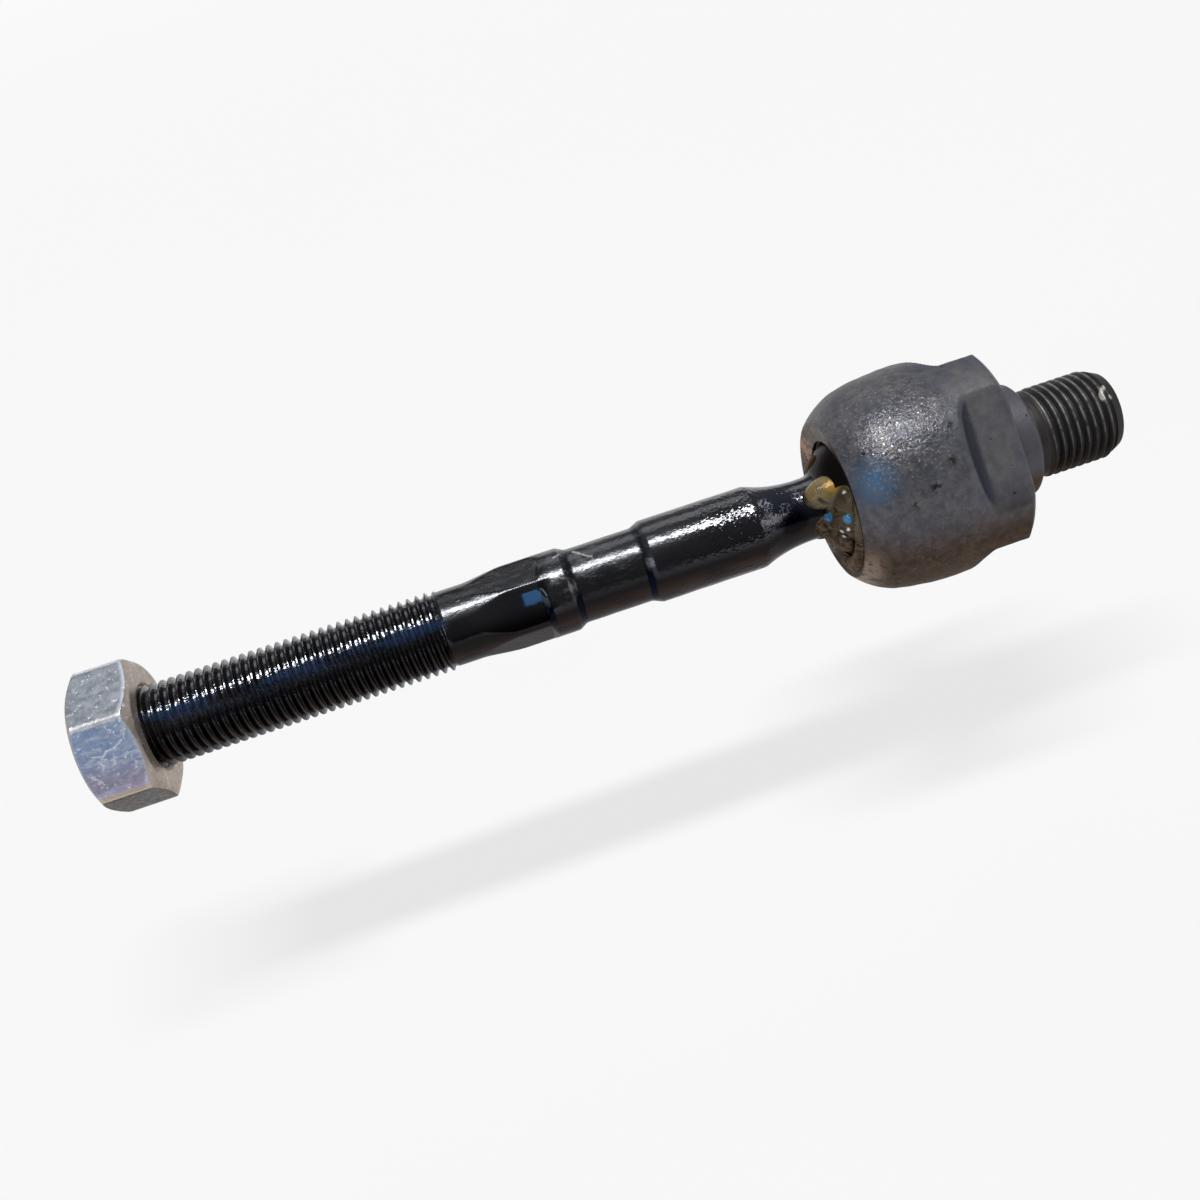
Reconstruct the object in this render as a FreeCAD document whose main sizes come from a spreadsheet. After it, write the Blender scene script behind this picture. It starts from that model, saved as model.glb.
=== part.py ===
"""Inner tie rod: a ball-jointed steering link, lying along X.

Frame: +X runs from the rod towards the rack stud, +Z is up, and the origin is the centre
of the shoulder that seats on the rack.  All lengths are in millimetres.
"""
import FreeCAD, Part
import os
import re
import math
import Sketcher
from FreeCAD import Placement, Rotation, Vector

# Driving sizes: alias, value, meaning

SIZES = [
    ("housing_wall", 5.3, "wall of the socket round the seats"),
    ("dome_inset", 1.1, "foot of the crimped dome, inside the round outside"),
    ("rim_inset", 5.0, "rim of the mouth, inside the round outside"),
    ("dome_length", 5.9, "rim of the mouth to the foot of the dome"),
    ("dome_round", 13.0, "radius of the dome in section"),
    ("taper_length", 12.0, "slow taper from the dome to the full diameter"),
    ("taper_round", 46.0, "radius of that taper in section"),
    ("lip_sink", 0.8, "how far the face round the mouth sinks from the rim to the bore of the lip"),
    ("lip_thick", 1.5, "rim to the back of the lip, which holds the seats in"),
    ("lip_gap", 0.5, "ball to the bore of the lip"),
    ("cavity_floor", 12.45, "rack shoulder to the floor of the bore that holds the seats"),
    ("flange_back", 6.0, "rack shoulder to the back of the wrench flange"),
    ("flat_depth", 2.9, "depth of the four wrench flats"),
    ("flat_length", 6.7, "length of each flat, back edge to the foot of its wall"),
    ("wall_length", 4.6, "length of the S-shaped wall in front of each flat"),
    ("wall_overshoot", 0.2, "how far that wall climbs past the round outside"),
    ("flange_bevel_run", 1.1, "bevel at the back of the flange, along the axis"),
    ("flange_bevel_rise", 1.3, "the same bevel, across the axis"),
    ("flange_angle", 48.0, "turn of the flats about the axis"),
    ("shoulder_width", 2.05, "rack shoulder round the stud"),
    ("boss_bevel", 0.4, "edge of the rack shoulder"),
    ("stud_neck_depth", 0.25, "plain root of the rack stud, below the crests"),
    ("stud_neck_length", 3.0, "shoulder to the first thread"),
    ("stud_dia", 15.9, "crests of the M16 x 1.5 rack thread"),
    ("stud_length", 16.4, "shoulder to the end of the stud"),
    ("stud_bevel_run", 2.5, "end bevel of the stud, along the axis"),
    ("stud_bevel_rise", 1.2, "the same bevel, across the axis"),
    ("ball_dia", 23.0, "ball of the rod"),
    ("ball_depth", 7.3, "rim of the mouth to the ball centre"),
    ("seat_wall", 1.8, "seats round the ball"),
    ("film_gap", 0.25, "ball to seat, filled by the grease"),
    ("film_play", 0.05, "clearance on each side of a grease film"),
    ("seat_play", 0.05, "seats and spring to the bore"),
    ("seat_split", 0.4, "gap between the two seats"),
    ("seat_back", 1.9, "thickness of the pressure seat behind the ball"),
    ("seat_pocket_dia", 6.0, "grease pocket through the pressure seat"),
    ("ring_front_angle", 62.0, "front edge of the front grease film, from the axis"),
    ("film_split_angle", 2.0, "half of the gap between the two films"),
    ("spring_thick", 0.8, "disc spring sheet"),
    ("spring_height", 1.0, "disc spring, flat to flat"),
    ("spring_bore", 10.0, "hole of the disc spring"),
    ("neck_dia", 10.8, "neck of the rod"),
    ("neck_round", 1.2, "fillet from the neck to the ball"),
    ("neck_length", 5.5, "rim of the mouth to the foot of the swell"),
    ("swell_length", 8.7, "neck to the main shank"),
    ("swell_round", 24.0, "radius of the swell in section"),
    ("shank_dia", 14.45, "main shank"),
    ("shank_length", 18.7, "main shank, along the axis"),
    ("waist_depth", 0.75, "waist between the shank and the collar, below the shank"),
    ("waist_length", 11.7, "bottom of the waist"),
    ("waist_bevel_shank", 1.7, "bevel from the waist up to the shank"),
    ("waist_bevel_collar", 1.4, "bevel from the waist up to the collar"),
    ("collar_dia", 14.5, "collar with the wrench flats"),
    ("collar_length", 10.2, "collar, along the axis"),
    ("collar_taper", 6.0, "taper from the collar to the thread relief"),
    ("hex_depth", 0.75, "depth of the six wrench flats"),
    ("hex_start", 3.8, "shank side of the collar to the foot of the flats"),
    ("hex_slope", 0.7, "run-out of the flats"),
    ("hex_angle", 54.3, "turn of the six flats about the axis"),
    ("relief_depth", 0.45, "thread relief, below the crests"),
    ("relief_length", 4.7, "thread relief, along the axis"),
    ("thread_dia", 13.9, "crests of the M14 x 1.5 thread"),
    ("thread_length", 61.0, "thread, relief to the end of the rod"),
    ("thread_lead", 0.45, "bevel at the relief end of the thread"),
    ("thread_bevel", 1.1, "end bevel of the rod"),
    ("nut_flats", 22.0, "across the flats of the lock nut"),
    ("nut_thick", 10.3, "lock nut"),
    ("nut_overhang", 0.5, "rod end beyond the nut"),
    ("nut_face_inset", 0.55, "flats of the nut to its face circle"),
    ("nut_chamfer_slope", 0.577, "rise of the corner chamfer, along over across"),
    ("nut_play", 0.1, "nut bore to the thread crests"),
    ("nut_countersink", 0.6, "chamfer of the nut's bore"),
    ("cut_margin", 1.0, "how far a milled cut starts outside the surface"),
]

doc = FreeCAD.newDocument("InnerTieRod")
sheet = doc.addObject("Spreadsheet::Sheet", "Sizes")
for row, (alias, value, meaning) in enumerate(SIZES, start=1):
    sheet.set("A%d" % row, meaning)
    sheet.set("B%d" % row, repr(value))
    sheet.setAlias("B%d" % row, alias)
doc.recompute()

ALIASES = {alias for alias, value, meaning in SIZES}

# Radii and stations, written with the sizes: the joint is stacked forward from the rack shoulder,
# and the rod is laid out from the mouth of the socket

SEAT_SPHERE = "(ball_dia / 2 + film_gap)"
CAVITY = "(%s + seat_wall + seat_play)" % SEAT_SPHERE
HOUSING = "(%s + housing_wall)" % CAVITY
BALL_X = "(0 - cavity_floor - spring_height - 2 * seat_play - seat_back - %s)" % SEAT_SPHERE
MOUTH = "(%s - ball_depth)" % BALL_X
NECK_END = "(%s - neck_length)" % MOUTH
SHANK_FRONT = "(%s - swell_length)" % NECK_END
SHANK_BACK = "(%s - shank_length)" % SHANK_FRONT
WAIST_FRONT = "(%s - waist_bevel_shank)" % SHANK_BACK
WAIST_BACK = "(%s - waist_length)" % WAIST_FRONT
COLLAR_FRONT = "(%s - waist_bevel_collar)" % WAIST_BACK
COLLAR_BACK = "(%s - collar_length)" % COLLAR_FRONT
RELIEF_FRONT = "(%s - collar_taper)" % COLLAR_BACK
THREAD_FRONT = "(%s - relief_length)" % RELIEF_FRONT
ROD_END = "(%s - thread_length)" % THREAD_FRONT
NUT_OUTER = "(%s + nut_overhang)" % ROD_END
NUT_INNER = "(%s + nut_thick)" % NUT_OUTER


def bound(text):
    """The same expression with every alias pointing at the sheet."""
    return re.sub(r"[a-z][a-z_]+", lambda m: ("Sizes." if m[0] in ALIASES else "") + m[0], text)


def size_of(text):
    """The number that an expression has now."""
    found = sheet.evalExpression(bound(text))
    return float(getattr(found, "Value", found))


def new_body(label):
    body = doc.addObject("PartDesign::Body", label)
    body.Label = label
    return body


def new_sketch(body, name, role="XZ_Plane"):
    """An empty sketch on one of the body's own origin planes."""
    sketch = body.newObject("Sketcher::SketchObject", name)
    plane = next(f for f in body.Origin.OriginFeatures if f.Role == role)
    sketch.AttachmentSupport = [(plane, "")]
    sketch.MapMode = "FlatFace"
    return sketch


def pin_point(sketch, geometry, end, place):
    """Fix one end of a curve at a place given by two expressions."""
    for text, kind, axis in ((place[0], "DistanceX", -2), (place[1], "DistanceY", -1)):
        if text == "0":
            sketch.addConstraint(Sketcher.Constraint("PointOnObject", geometry, end, axis))
            continue
        index = sketch.addConstraint(Sketcher.Constraint(kind, -1, 1, geometry, end, size_of(text)))
        sketch.setExpression("Constraints[%d]" % index, bound(text))


def arc_between(start, finish, radius, bulge):
    """Short arc from start to finish; bulge +1 keeps its centre on the left of the way, -1 right."""
    chord = finish - start
    middle = (start + finish) * 0.5
    normal = Vector(-chord.y, chord.x, 0).normalize()
    reach = math.sqrt(max(radius ** 2 - (chord.Length / 2) ** 2, 0.0))
    centre = middle + normal * reach * bulge
    circle = Part.Circle(centre, Vector(0, 0, 1), radius)
    angles = [math.atan2(p.y - centre.y, p.x - centre.x) for p in (start, finish)]
    if bulge < 0:
        angles.reverse()
    return Part.ArcOfCircle(circle, angles[0], angles[1])


def draw_loop(sketch, corners):
    """A closed outline.  Each corner is (x, r) or (x, r, radius, bulge) for an arc to the next one."""
    places = [Vector(size_of(c[0]), size_of(c[1]), 0) for c in corners]
    ends = []
    for index, corner in enumerate(corners):
        start = places[index]
        finish = places[(index + 1) % len(places)]
        if len(corner) == 2:
            geometry = sketch.addGeometry(Part.LineSegment(start, finish), False)
            ends.append((geometry, 1, 2))
            continue
        radius, bulge = corner[2:]
        geometry = sketch.addGeometry(arc_between(start, finish, size_of(radius), bulge), False)
        ends.append((geometry, 1, 2) if bulge > 0 else (geometry, 2, 1))
        held = sketch.addConstraint(Sketcher.Constraint("Radius", geometry, size_of(radius)))
        sketch.setExpression("Constraints[%d]" % held, bound(radius))
    for index, (geometry, first, last) in enumerate(ends):
        following, opening = ends[(index + 1) % len(ends)][:2]
        sketch.addConstraint(Sketcher.Constraint("Coincident", geometry, last, following, opening))
        pin_point(sketch, geometry, first, corners[index])


def turned(body, name, corners, kind="PartDesign::Revolution"):
    """A full turn of an outline about the X axis, added or (as a Groove) cut away."""
    sketch = new_sketch(body, name + "_outline")
    draw_loop(sketch, corners)
    feature = body.newObject(kind, name)
    feature.Profile = sketch
    feature.ReferenceAxis = (sketch, ["H_Axis"])
    feature.Angle = 360.0
    doc.recompute()
    return feature


def wrench_flats(body, name, corners, count):
    """Flats milled straight across: one cut through the side outline, repeated round the X axis."""
    sketch = new_sketch(body, name + "_outline")
    draw_loop(sketch, corners)
    before = body.Shape.Volume
    cut = body.newObject("PartDesign::Pocket", name)
    cut.Profile = sketch
    cut.Type = "ThroughAll"
    cut.Midplane = True
    doc.recompute()
    if not body.Shape.Volume < before:
        raise RuntimeError(name + " cuts nothing")
    pattern = body.newObject("PartDesign::PolarPattern", name + "_round")
    pattern.Originals = [cut]
    pattern.Axis = (next(f for f in body.Origin.OriginFeatures if f.Role == "X_Axis"), [""])
    pattern.Angle = 360.0
    pattern.Occurrences = count
    body.Tip = pattern
    doc.recompute()
    return pattern


def on_sphere(radius, degrees, centre=BALL_X):
    """A point of a sphere about the ball centre, its angle counted from the rod's side of the axis."""
    return ("%s - %s * cos(%s)" % (centre, radius, degrees), "%s * sin(%s)" % (radius, degrees))


# Socket housing: one forging with the crimped cup, the four-flat flange, the shoulder and the stud

housing = new_body("socket_housing")
lip_reach = "(ball_depth - lip_thick)"
lip_bore = "(sqrt((ball_dia / 2) ^ 2 - %s ^ 2) + lip_gap)" % lip_reach
boss = "(stud_dia / 2 + shoulder_width)"
turned(housing, "housing_turning", [
    (MOUTH, HOUSING + " - rim_inset", "dome_round", -1),
    (MOUTH + " + dome_length", HOUSING + " - dome_inset", "taper_round", -1),
    (MOUTH + " + dome_length + taper_length", HOUSING),
    ("-flange_back - flange_bevel_run", HOUSING),
    ("-flange_back", HOUSING + " - flange_bevel_rise"),
    ("-flange_back", boss),
    ("-boss_bevel", boss),
    ("0", boss + " - boss_bevel"),
    ("0", "stud_dia / 2 - stud_neck_depth"),
    ("stud_neck_length", "stud_dia / 2 - stud_neck_depth"),
    ("stud_neck_length + stud_neck_depth", "stud_dia / 2"),
    ("stud_length - stud_bevel_run", "stud_dia / 2"),
    ("stud_length", "stud_dia / 2 - stud_bevel_rise"),
    ("stud_length", "0"),
    ("-cavity_floor", "0"),
    ("-cavity_floor", CAVITY),
    (BALL_X, CAVITY, CAVITY, 1),
    (MOUTH + " + lip_thick", "sqrt(%s ^ 2 - %s ^ 2)" % (CAVITY, lip_reach)),
    (MOUTH + " + lip_thick", lip_bore),
    (MOUTH + " + lip_sink", lip_bore),
])
flat = "(%s - flat_depth)" % HOUSING
wall_top = "(%s + cut_margin)" % HOUSING
wall_rise = "(flat_depth + wall_overshoot)"
wall_round = "(wall_length ^ 2 + %s ^ 2) / (4 * %s)" % (wall_rise, wall_rise)
wall_foot = "(-flange_back - flat_length)"
wrench_flats(housing, "flange_flats_cut", [
    (wall_foot, flat, wall_round, -1),
    (wall_foot + " - wall_length / 2", flat + " + %s / 2" % wall_rise, wall_round, 1),
    (wall_foot + " - wall_length", flat + " + " + wall_rise),
    (wall_foot + " - wall_length", wall_top),
    ("-flange_back / 2", wall_top),
    ("-flange_back / 2", flat),
], 4)
housing.Placement = Placement(Vector(0, 0, 0), Rotation(Vector(1, 0, 0), 0))
housing.setExpression("Placement.Rotation.Angle", "Sizes.flange_angle * 1 deg")

# Bearing seat: the moulded ring in front of the ball's equator, held in by the lip

bearing_seat = new_body("bearing_seat")
seat_outside = "(%s - seat_play)" % CAVITY
equator_front = "(%s - seat_split / 2)" % BALL_X
seat_front = "(%s + lip_thick + seat_play)" % MOUTH
seat_reach = "(%s - seat_play)" % lip_reach
turned(bearing_seat, "bearing_seat_turning", [
    (seat_front, "sqrt(%s ^ 2 - %s ^ 2)" % (SEAT_SPHERE, seat_reach), SEAT_SPHERE, -1),
    (equator_front, "sqrt(%s ^ 2 - (seat_split / 2) ^ 2)" % SEAT_SPHERE),
    (equator_front, "sqrt(%s ^ 2 - (seat_split / 2) ^ 2)" % seat_outside, seat_outside, 1),
    (seat_front, "sqrt(%s ^ 2 - %s ^ 2)" % (seat_outside, seat_reach)),
])

# Pressure seat: the moulded cup behind the equator, pushed on to the ball by the spring

pressure_seat = new_body("pressure_seat")
equator_back = "(%s + seat_split / 2)" % BALL_X
seat_rear = "(%s + ball_dia / 2 + film_gap + seat_back)" % BALL_X
turned(pressure_seat, "pressure_seat_turning", [
    (equator_back, "sqrt(%s ^ 2 - (seat_split / 2) ^ 2)" % SEAT_SPHERE, SEAT_SPHERE, -1),
    ("%s + sqrt(%s ^ 2 - (seat_pocket_dia / 2) ^ 2)" % (BALL_X, SEAT_SPHERE), "seat_pocket_dia / 2"),
    (seat_rear, "seat_pocket_dia / 2"),
    (seat_rear, seat_outside),
    (equator_back, seat_outside),
])

# Disc spring between the pressure seat and the floor of the bore

preload_spring = new_body("preload_spring")
spring_inside = "(%s + seat_play)" % seat_rear
spring_room = "(%s + spring_height)" % spring_inside
turned(preload_spring, "preload_spring_turning", [
    (spring_inside, seat_outside),
    (spring_inside + " + spring_thick", seat_outside),
    (spring_room, "spring_bore / 2"),
    (spring_room + " - spring_thick", "spring_bore / 2"),
])

# Grease films: one round the front of the ball, one behind it

film_inside = "(ball_dia / 2 + film_play)"
film_outside = "(%s - film_play)" % SEAT_SPHERE

grease_ring = new_body("grease_ring")
turned(grease_ring, "grease_ring_turning", [
    on_sphere(film_inside, "ring_front_angle") + (film_inside, -1),
    on_sphere(film_inside, "(90 - film_split_angle)"),
    on_sphere(film_outside, "(90 - film_split_angle)") + (film_outside, 1),
    on_sphere(film_outside, "ring_front_angle"),
])

grease_cap = new_body("grease_cap")
turned(grease_cap, "grease_cap_turning", [
    on_sphere(film_inside, "(90 + film_split_angle)") + (film_inside, -1),
    ("%s + %s" % (BALL_X, film_inside), "0"),
    ("%s + %s" % (BALL_X, film_outside), "0", film_outside, 1),
    on_sphere(film_outside, "(90 + film_split_angle)"),
])

# Rod: one forging with the ball, neck, shank, waist, hexagonal collar and thread

tie_rod = new_body("tie_rod")
ball_foot = "(%s - sqrt((ball_dia / 2) ^ 2 - (neck_dia / 2) ^ 2))" % BALL_X
rod_turning = turned(tie_rod, "rod_turning", [
    ("%s + ball_dia / 2" % BALL_X, "0", "ball_dia / 2", 1),
    (ball_foot, "neck_dia / 2"),
    (NECK_END, "neck_dia / 2", "swell_round", -1),
    (SHANK_FRONT, "shank_dia / 2"),
    (SHANK_BACK, "shank_dia / 2"),
    (WAIST_FRONT, "shank_dia / 2 - waist_depth"),
    (WAIST_BACK, "shank_dia / 2 - waist_depth"),
    (COLLAR_FRONT, "collar_dia / 2"),
    (COLLAR_BACK, "collar_dia / 2"),
    (RELIEF_FRONT, "thread_dia / 2 - relief_depth"),
    (THREAD_FRONT, "thread_dia / 2 - relief_depth"),
    (THREAD_FRONT + " - thread_lead", "thread_dia / 2"),
    (ROD_END + " + thread_bevel", "thread_dia / 2"),
    (ROD_END, "thread_dia / 2 - thread_bevel"),
    (ROD_END, "0"),
])


def ring_edge(shape, x_place, radius):
    """Name of the round edge about the X axis at a station and a radius."""
    for index, edge in enumerate(shape.Edges, start=1):
        curve = None if edge.Degenerated else edge.Curve
        if not isinstance(curve, Part.Circle):
            continue
        if abs(curve.Radius - radius) < 1e-4 and abs(curve.Center.x - x_place) < 1e-4:
            return "Edge%d" % index
    raise RuntimeError("no round edge at %.3f" % x_place)


neck_fillet = tie_rod.newObject("PartDesign::Fillet", "neck_fillet")
neck_fillet.Base = (rod_turning, [ring_edge(rod_turning.Shape, size_of(ball_foot), size_of("neck_dia / 2"))])
neck_fillet.setExpression("Radius", "Sizes.neck_round")
doc.recompute()

hex_foot = "(%s - hex_start)" % COLLAR_FRONT
hex_top = "(collar_dia / 2 + cut_margin)"
hex_flat = "(collar_dia / 2 - hex_depth)"
wrench_flats(tie_rod, "hex_flats_cut", [
    (hex_foot + " - hex_slope", hex_flat),
    (hex_foot + " + hex_slope * cut_margin / hex_depth", hex_top),
    (THREAD_FRONT + " + relief_length / 2", hex_top),
    (THREAD_FRONT + " + relief_length / 2", hex_flat),
], 6)
tie_rod.Placement = Placement(Vector(0, 0, 0), Rotation(Vector(1, 0, 0), 0))
tie_rod.setExpression("Placement.Rotation.Angle", "Sizes.hex_angle * 1 deg")

# Lock nut: a hexagon with both faces chamfered, a flat face down

lock_nut = new_body("lock_nut")
nut_sketch = new_sketch(lock_nut, "nut_hexagon", "YZ_Plane")
nut_corner = size_of("nut_flats / 2") / math.cos(math.radians(30))
corner_places = [Vector(nut_corner * math.cos(a), nut_corner * math.sin(a), 0)
                 for a in (math.radians(60 * k) for k in range(6))]
for index in range(6):
    nut_sketch.addGeometry(Part.LineSegment(corner_places[index], corner_places[(index + 1) % 6]), False)
rim = nut_sketch.addGeometry(Part.Circle(Vector(0, 0, 0), Vector(0, 0, 1), nut_corner), True)
nut_sketch.addConstraint(Sketcher.Constraint("Coincident", rim, 3, -1, 1))
for index in range(6):
    nut_sketch.addConstraint(Sketcher.Constraint("Coincident", index, 2, (index + 1) % 6, 1))
    nut_sketch.addConstraint(Sketcher.Constraint("PointOnObject", index, 1, rim))
for index in range(5):
    nut_sketch.addConstraint(Sketcher.Constraint("Equal", index, index + 1))
nut_sketch.addConstraint(Sketcher.Constraint("PointOnObject", 0, 1, -1))
nut_radius = nut_sketch.addConstraint(Sketcher.Constraint("Radius", rim, nut_corner))
nut_sketch.setExpression("Constraints[%d]" % nut_radius, "Sizes.nut_flats / 2 / cos(30)")
nut_sketch.setExpression("AttachmentOffset.Base.z", bound(NUT_OUTER))
nut_pad = lock_nut.newObject("PartDesign::Pad", "nut_blank")
nut_pad.Profile = nut_sketch
nut_pad.setExpression("Length", "Sizes.nut_thick")
doc.recompute()
if abs(nut_pad.Shape.BoundBox.XMax - size_of(NUT_INNER)) > 1e-6:
    nut_pad.Reversed = True
    doc.recompute()

chamfer_top = "(nut_flats / 2 / cos(30) + cut_margin)"
nut_face = "(nut_flats / 2 - nut_face_inset)"
chamfer_run = "((%s - %s) * nut_chamfer_slope)" % (chamfer_top, nut_face)
nut_bore = "(thread_dia / 2 + nut_play)"
for name, station, way in (("outer", NUT_OUTER, "+"), ("inner", NUT_INNER, "-")):
    turned(lock_nut, "nut_chamfer_" + name, [
        (station, nut_face),
        (station + way + chamfer_run, chamfer_top),
        (station, chamfer_top),
    ], "PartDesign::Groove")
turned(lock_nut, "nut_bore", [
    (NUT_OUTER, "0"),
    (NUT_OUTER, nut_bore + " + nut_countersink"),
    (NUT_OUTER + " + nut_countersink", nut_bore),
    (NUT_INNER + " - nut_countersink", nut_bore),
    (NUT_INNER, nut_bore + " + nut_countersink"),
    (NUT_INNER, "0"),
], "PartDesign::Groove")
lock_nut.Placement = Placement(Vector(0, 0, 0), Rotation(Vector(1, 0, 0), 0))

# Check every object, then write each piece

doc.recompute()
for item in doc.Objects:
    if "Invalid" in item.State or "Error" in item.State:
        raise RuntimeError("%s failed: %s" % (item.Label, item.State))

PIECES = [housing, bearing_seat, pressure_seat, preload_spring, grease_ring, grease_cap, tie_rod, lock_nut]
os.makedirs("parts", exist_ok=True)
for piece in PIECES:
    shape = piece.Shape
    if shape.isNull() or not shape.isValid() or len(shape.Solids) != 1:
        raise RuntimeError(piece.Label + " is not one valid solid")
    shape.exportStep("parts/%s.step" % piece.Label)
    box = shape.BoundBox
    print("%-16s volume %9.1f  x %.2f to %.2f  z %.2f to %.2f"
          % (piece.Label, shape.Volume, box.XMin, box.XMax, box.ZMin, box.ZMax))
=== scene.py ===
"""Inner tie rod, dressed for display: oiled black rod, forged socket, zinc lock nut and amber grease.

Lengths in the shape functions are millimetres.  An angle round the rod counts from +Z towards +Y.
"""
import math

import bmesh
import bpy
import numpy as np
from mathutils import Matrix, Vector


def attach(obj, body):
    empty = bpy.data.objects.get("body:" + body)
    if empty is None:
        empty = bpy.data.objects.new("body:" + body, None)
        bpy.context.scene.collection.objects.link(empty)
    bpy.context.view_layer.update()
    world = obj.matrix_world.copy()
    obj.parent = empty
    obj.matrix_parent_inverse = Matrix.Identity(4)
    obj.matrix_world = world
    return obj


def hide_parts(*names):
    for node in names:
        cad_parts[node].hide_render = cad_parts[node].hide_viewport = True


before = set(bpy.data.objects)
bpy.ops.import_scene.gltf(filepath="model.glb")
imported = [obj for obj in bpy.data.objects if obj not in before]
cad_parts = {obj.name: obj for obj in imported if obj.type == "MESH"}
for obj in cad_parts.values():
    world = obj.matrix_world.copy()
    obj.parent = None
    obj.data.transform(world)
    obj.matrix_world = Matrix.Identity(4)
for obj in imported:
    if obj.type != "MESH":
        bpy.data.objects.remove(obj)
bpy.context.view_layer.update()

MM = 0.001
PITCH = 1.5
THREAD_SLOPE = math.sqrt(3)          # rise over run of a 60 degree thread's flank
THREAD_DEPTH = 0.78
CREST_HALF = 0.07                    # half width of a crest, in pitches
BALL_X, BALL_R = -27.2, 11.5
CAVITY_R = 13.6
FLANGE_TURN = -48.0                  # first of the four flats
HEX_TURN = -54.3                     # first of the rod's six flats
ROD_CREST, STUD_CREST = 6.95, 7.95
NECK_R = 5.4
ROD_END, THREAD_END = -164.1, -103.1  # the rod's free end, and the end of its thread
STUD_START, STUD_END = 2.2, 16.4
STUD_ROOT = 7.7
NUT_OUTER, NUT_INNER = -163.6, -153.3
NUT_FLAT = 11.0                      # half the width across flats
FLOOR_DROP = 62.0                    # below the axis, clear of the rod at its lowest swing
FLOOR_HALF = 30.0                    # metres
BACKGROUND = (0.97, 0.97, 0.97, 1.0)


# Outlines and grids

def turns(count, corner=None):
    """Angles once round, first and last the same; with a corner angle they gather near six corners."""
    if corner is None:
        return np.linspace(0, 2 * np.pi, count + 1)
    share = np.linspace(-1, 1, count // 6 + 1)
    share = np.sign(share) * (1 - (1 - np.abs(share)) ** 1.7)
    sixth = math.pi / 6
    rounds = [corner + (2 * k + 1) * sixth + share[:-1] * sixth for k in range(6)]
    return np.append(np.concatenate(rounds), rounds[0][0] + 2 * np.pi)


def outline(corners, turn, step):
    """Rows of a side outline held as x + i r, one column for each angle.

    Straight runs join the corners (x, r) or (x, r, ease).  A corner with an ease is cut back by that
    length on both sides and bridged by a parabola.  Runs are divided about every step.
    """
    spots = [np.broadcast_to(np.asarray(c[0], float) + 1j * np.asarray(c[1], float), turn.shape)
             for c in corners]
    eases = [c[2] if len(c) > 2 else 0.0 for c in corners]
    rows = []
    leave = spots[0]
    for k in range(1, len(spots)):
        here, before = spots[k], spots[k - 1]
        run = here - before
        arrive = here - run / np.maximum(np.abs(run), 1e-9) * eases[k]
        pieces = max(1, int(np.ceil(np.abs(arrive - leave).mean() / step)))
        share = np.linspace(0, 1, pieces + 1)[:, None]
        rows.append(leave + (arrive - leave) * share)
        leave = here
        if eases[k] and k + 1 < len(spots):
            onward = spots[k + 1] - here
            leave = here + onward / np.maximum(np.abs(onward), 1e-9) * eases[k]
            share = np.linspace(0, 1, 5)[1:-1, None]
            rows.append((1 - share) ** 2 * arrive + 2 * share * (1 - share) * here + share ** 2 * leave)
    return np.concatenate(rows)


def bow(start, finish, radius, side, count):
    """Corners along a circular arc; side +1 keeps the centre left of the way, -1 right of it."""
    a, b = complex(*start), complex(*finish)
    half = abs(b - a) / 2
    centre = (a + b) / 2 + 1j * (b - a) / (2 * half) * math.sqrt(radius ** 2 - half ** 2) * side
    sweep = 2 * math.asin(half / radius) * side
    spots = centre + (a - centre) * np.exp(1j * sweep * np.linspace(0, 1, count))
    return [(p.real, p.imag) for p in spots]


def thread_radius(phase, crest):
    """Radius of a 60 degree thread: flat crest at whole phases, straight flanks, flat root."""
    away = np.abs((phase + 0.5) % 1 - 0.5) - CREST_HALF
    return crest - np.clip(THREAD_SLOPE * PITCH * away, 0, THREAD_DEPTH)


def helix(start, end, turn, crest):
    """Rows that follow a right-hand thread from start to end, with the thread's full radius.

    Each pitch has eight rows, at the edges of crest and root and twice on each flank.  A row
    slides back one pitch in a full turn, and is held between start and end, so both ends are rings.
    """
    marks = np.array([-CREST_HALF, CREST_HALF, 0.17, 0.27, 0.37, 0.63, 0.73, 0.83])
    first = math.floor(start / PITCH)
    last = math.ceil(end / PITCH) + 1
    base = (np.arange(first, last + 1)[:, None] + marks).ravel()[:, None] * PITCH
    x = np.clip(base - PITCH * (turn / (2 * np.pi))[None, :], start, end)
    x[0], x[-1] = start, end
    phase = x / PITCH + turn / (2 * np.pi)
    return x, thread_radius(phase, crest)


def softer_least(a, b, width):
    """The smaller of two radii, with the edge between them rounded over about the given width."""
    low = np.minimum(a, b)
    return low - width * np.log1p(np.exp(-np.abs(a - b) / width))


def unevenness(x, turn, seed, coarse, fine):
    """Gentle lumps between -1 and 1: a sum of sine waves along x and whole numbers of waves round."""
    waves, spread = 26, 1.6
    dice = np.random.default_rng(seed)
    total = np.zeros(np.broadcast(x, turn).shape)
    for _ in range(waves):
        length = math.exp(dice.uniform(math.log(fine), math.log(coarse)))
        lobes = dice.integers(0, max(2, int(60 / length)))
        total += np.sin(2 * np.pi * x / length + lobes * turn + dice.uniform(0, 6.28))
    return total / math.sqrt(waves) / spread


def lump(x, turn, where, at, long, wide):
    """A drop of height 1 at a station and an angle in degrees.

    Its height is the root of 1 - d squared, where d is the distance in half lengths and half widths.
    """
    gap = (turn - math.radians(at) + np.pi) % (2 * np.pi) - np.pi
    return np.sqrt(np.maximum(1 - ((x - where) / long) ** 2 - (gap / math.radians(wide)) ** 2, 0))


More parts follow.
